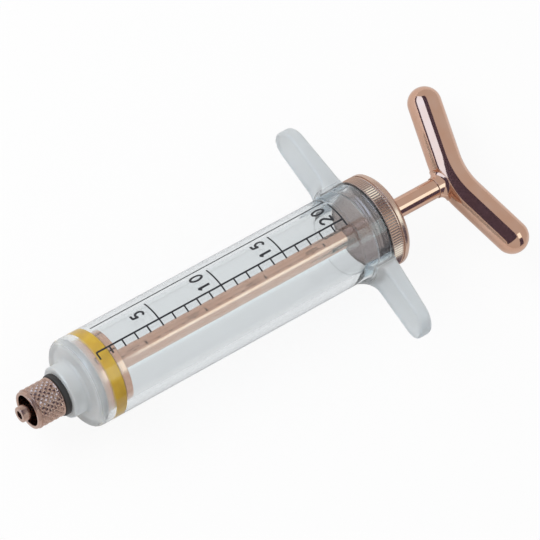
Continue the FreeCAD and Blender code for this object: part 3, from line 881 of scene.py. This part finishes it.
# The table's height and half its width are in metres
FLOOR = cad_low[2]
TABLE = 4.0

table, tree, shader = new_material("white_table", Base_Color=(0.9, 0.9, 0.9, 1))
tree.links.new(ramp(tree, noise(tree, 30, detail=2), 0.75, 0.85), shader.inputs["Roughness"])


def ray_share(tree, camera, transmission, glossy):
    """A number that is as given for camera, transmission and glossy rays, and 0 for the rest."""
    path = tree.nodes.new("ShaderNodeLightPath")
    total = None
    for ray, share in (("Camera", camera), ("Transmission", transmission), ("Glossy", glossy)):
        node = tree.nodes.new("ShaderNodeMath")
        node.operation = "MULTIPLY"
        node.inputs[1].default_value = share
        tree.links.new(path.outputs[f"Is {ray} Ray"], node.inputs[0])
        part = node.outputs["Value"]
        total = combined(tree, "MAXIMUM", total, part) if total else part
    return total


# The table shows nearly white to the camera and through the plastic, and a little so in the metal
glow = tree.nodes.new("ShaderNodeEmission")
backing = tree.nodes.new("ShaderNodeMixShader")
white = ray_share(tree, camera=0.9, transmission=0.9, glossy=0.1)
tree.links.new(white, backing.inputs["Fac"])
tree.links.new(shader.outputs["BSDF"], backing.inputs[1])
tree.links.new(glow.outputs["Emission"], backing.inputs[2])
tree.links.new(backing.outputs["Shader"], tree.nodes["Material Output"].inputs["Surface"])

corners = [(-1, -1), (1, -1), (1, 1), (-1, 1)]
mesh = bpy.data.meshes.new("table_top")
mesh.from_pydata([(x * TABLE, y * TABLE, FLOOR) for x, y in corners], [], [(0, 1, 2, 3)])
mesh.materials.append(table)
table_top = bpy.data.objects.new("table_top", mesh)
bpy.context.scene.collection.objects.link(table_top)

# The focal length and the picture's width are in pixels. The middle of the picture shows the point
# that lies AIM_RIGHT to the right of LOOK_AT and AIM_UP above it, as seen from the camera.
TILT = np.radians(24.5)
TURN = np.radians(28.64)
DISTANCE = 1200.0
FOCAL = 4992.0
PICTURE = 540
SENSOR = 36.0
LOOK_AT = np.array([56.27, 0, 0])
AIM_RIGHT = 14.13
AIM_UP = 9.71

toward = np.array([-np.sin(TILT), 0, np.cos(TILT)])
level = np.array([np.cos(TILT), 0, np.sin(TILT)])
across = np.array([0, 1, 0])
right = np.cos(TURN) * level - np.sin(TURN) * across
up = np.sin(TURN) * level + np.cos(TURN) * across
place = LOOK_AT + AIM_RIGHT * right + AIM_UP * up + DISTANCE * toward


def stand(thing, place, axes):
    """Stand the camera or a lamp at a place in metres, with its axes along the given columns."""
    thing.matrix_world = Matrix.Translation(Vector(place)) @ Matrix(axes.tolist()).to_4x4()
    bpy.context.scene.collection.objects.link(thing)


camera_data = bpy.data.cameras.new("camera")
camera_data.sensor_width = SENSOR
camera_data.lens = FOCAL / PICTURE * SENSOR
camera = bpy.data.objects.new("camera", camera_data)
stand(camera, place * MM, np.stack([right, up, toward], axis=1))
bpy.context.scene.camera = camera

# The lamps and cloths stand round the handle's middle, with their distances and sizes in metres
HANDLE_MIDDLE = np.array([BAR_CENTRE * MM, 0, 0])


def lamp(name, direction, distance, side, size, power, mirrored=True, tone=(1, 1, 1)):
    """A soft lamp that faces the handle's middle from a direction, with its first side as near to
    the given one as that allows. A mirrored one shows in metal and through plastic and gives no
    other light, and one that isn't mirrored only lights the object."""
    data = bpy.data.lights.new(name, "AREA")
    data.shape = "RECTANGLE"
    data.size, data.size_y = size
    data.energy = power
    data.color = tone
    light = bpy.data.objects.new(name, data)
    facing = np.array(direction) / np.linalg.norm(direction)
    side = np.array(side) - (np.array(side) @ facing) * facing
    side = side / np.linalg.norm(side)
    axes = np.stack([side, np.cross(facing, side), facing], axis=1)
    stand(light, facing * distance + HANDLE_MIDDLE, axes)
    light.visible_glossy = light.visible_transmission = mirrored
    light.visible_diffuse = not mirrored


# The lamp that lights the object is white, and those that the metal mirrors are bluish
lamp("key_box", (-0.58, 0.55, 0.60), distance=0.9, side=(0.69, 0.72, 0), size=(0.55, 0.35),
     power=3.8, mirrored=False)
lamp("side_box", (-0.62, 0.62, 0.48), distance=1.0, side=(0.71, 0.71, 0), size=(0.85, 1.05),
     power=4.4, tone=(0.36, 0.64, 1.0))
lamp("strip_box", (0.392, -0.277, 0.877), distance=0.98, side=(1, 0, 0), size=(0.42, 0.52),
     power=0.9, tone=(0.68, 0.96, 1.0))

# Dark cloths beside the lamps give the polished metal its dark stripes, and show only there
CLOTH_DISTANCE = 0.7
cloth, tree, shader = new_material("dark_cloth", Base_Color=(0.12, 0.10, 0.17, 1))
tree.links.new(ramp(tree, noise(tree, 12), 0.85, 1.0), shader.inputs["Roughness"])


def hang_cloth(name, corners):
    """A flat cloth whose corners are directions from the handle's middle, carried out to a plane
    that faces it at the cloths' distance."""
    corners = np.array(corners)
    facing = corners.mean(axis=0) / np.linalg.norm(corners.mean(axis=0))
    corners = corners / (corners @ facing)[:, None] * CLOTH_DISTANCE + HANDLE_MIDDLE
    mesh = bpy.data.meshes.new(name)
    mesh.from_pydata(corners.tolist(), [], [tuple(range(len(corners)))])
    mesh.materials.append(cloth)
    flag = bpy.data.objects.new(name, mesh)
    for kind in ("camera", "diffuse", "transmission", "shadow"):
        setattr(flag, f"visible_{kind}", False)
    bpy.context.scene.collection.objects.link(flag)


hang_cloth("wide_cloth", [(-0.96, -0.50, 0.15), (-0.90, -0.10, 0.36), (-0.77, 0.25, 0.52),
                          (-0.30, 0.50, 0.80), (-0.22, 0.80, 0.56), (0.08, 0.72, 0.69),
                          (0.10, 0.42, 0.90), (0.05, 0.28, 0.96), (0.08, -0.30, 0.94)])
hang_cloth("narrow_cloth", [(0.20, -0.61, 0.767), (0.20, -0.976, 0.085), (0.55, -0.832, 0.073),
                            (0.55, -0.52, 0.654)])
hang_cloth("low_cloth", [(-0.98, 0.20, 0.0), (-0.40, 0.92, 0.0), (-0.40, 0.90, 0.17),
                         (-0.96, 0.20, 0.17)])

# The world lights the object dimly, and shows white to the camera and through the plastic
WORLD_DIM = 0.68
WORLD_BRIGHT = 1.0
world = bpy.data.worlds.new("studio")
bpy.context.scene.world = world
world.use_nodes = True
tree = world.node_tree
dim = tree.nodes["Background"]
bright = tree.nodes.new("ShaderNodeBackground")
for background, strength in ((dim, WORLD_DIM), (bright, WORLD_BRIGHT)):
    background.inputs["Color"].default_value = (1, 1, 1, 1)
    background.inputs["Strength"].default_value = strength
either = tree.nodes.new("ShaderNodeMixShader")
white = ray_share(tree, camera=1.0, transmission=1.0, glossy=0.0)
tree.links.new(white, either.inputs["Fac"])
tree.links.new(dim.outputs["Background"], either.inputs[1])
tree.links.new(bright.outputs["Background"], either.inputs[2])
tree.links.new(either.outputs["Shader"], tree.nodes["World Output"].inputs["Surface"])
bpy.context.scene.view_settings.view_transform = "Standard"
